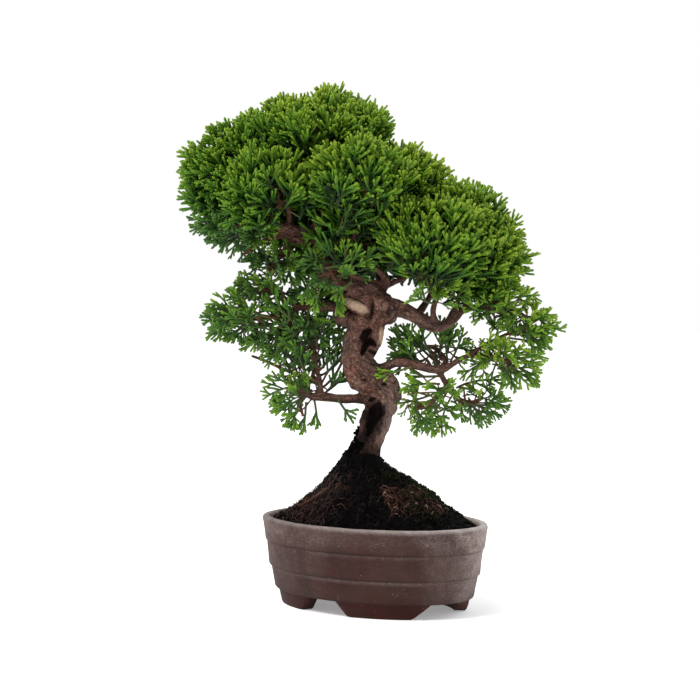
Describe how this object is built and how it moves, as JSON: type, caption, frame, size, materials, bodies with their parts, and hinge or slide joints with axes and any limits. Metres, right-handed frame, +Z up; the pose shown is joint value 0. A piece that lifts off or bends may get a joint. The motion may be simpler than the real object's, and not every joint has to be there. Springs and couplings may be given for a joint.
{
  "type": "bonsai tree in a pot",
  "caption": "Juniper bonsai with an S-curved trunk and a one-sided green scale-leaf crown, growing from a steep soil mound in an oval, unglazed, stepped stoneware pot on corner feet.",
  "frame": {"origin": "centre of the bounding box's bottom face, on the table the pot stands on", "axes": "+Z up, +X along the pot's long axis; the tree's front looks along the direction 44 degrees round from -Y towards +X"},
  "size_m": [0.1908, 0.1778, 0.3154],
  "materials": {
    "pot": "unglazed brown stoneware with a pale mineral bloom, matt",
    "soil": "dark moist crumbs",
    "moss": "short dark moss",
    "bark": "weathered grey-brown bark, matt",
    "foliage": "scale leaves, semi-matt",
    "drain_screen": "matt",
    "wire": "drawn"
  },
  "bodies": {
    "root": {"drain_screen_left": "drain_screen", "drain_screen_right": "drain_screen", "foliage_apex": "foliage", "foliage_apex_left": "foliage", "foliage_back_left": "foliage", "foliage_back_low": "foliage", "foliage_back_right": "foliage", "foliage_back_top": "foliage", "foliage_centre": "foliage", "foliage_front_centre": "foliage", "foliage_front_left": "foliage", "foliage_front_low": "foliage", "foliage_left_foot": "foliage", "foliage_left_hang": "foliage", "foliage_left_inner": "foliage", "foliage_left_low": "foliage", "foliage_left_mid": "foliage", "foliage_left_tip": "foliage", "foliage_left_tuft": "foliage", "foliage_left_under": "foliage", "foliage_right_drop": "foliage", "foliage_right_front": "foliage", "foliage_right_hem": "foliage", "foliage_right_low": "foliage", "foliage_right_lower": "foliage", "foliage_right_mid": "foliage", "foliage_right_outer": "foliage", "foliage_right_shoulder": "foliage", "foliage_right_tip": "foliage", "foliage_right_under": "foliage", "foliage_right_upper": "foliage", "moss": "moss", "pot": "pot", "screen_wire_left": "wire", "screen_wire_right": "wire", "soil": "soil", "trunk_and_branches": "bark"}
  },
  "joints": []
}
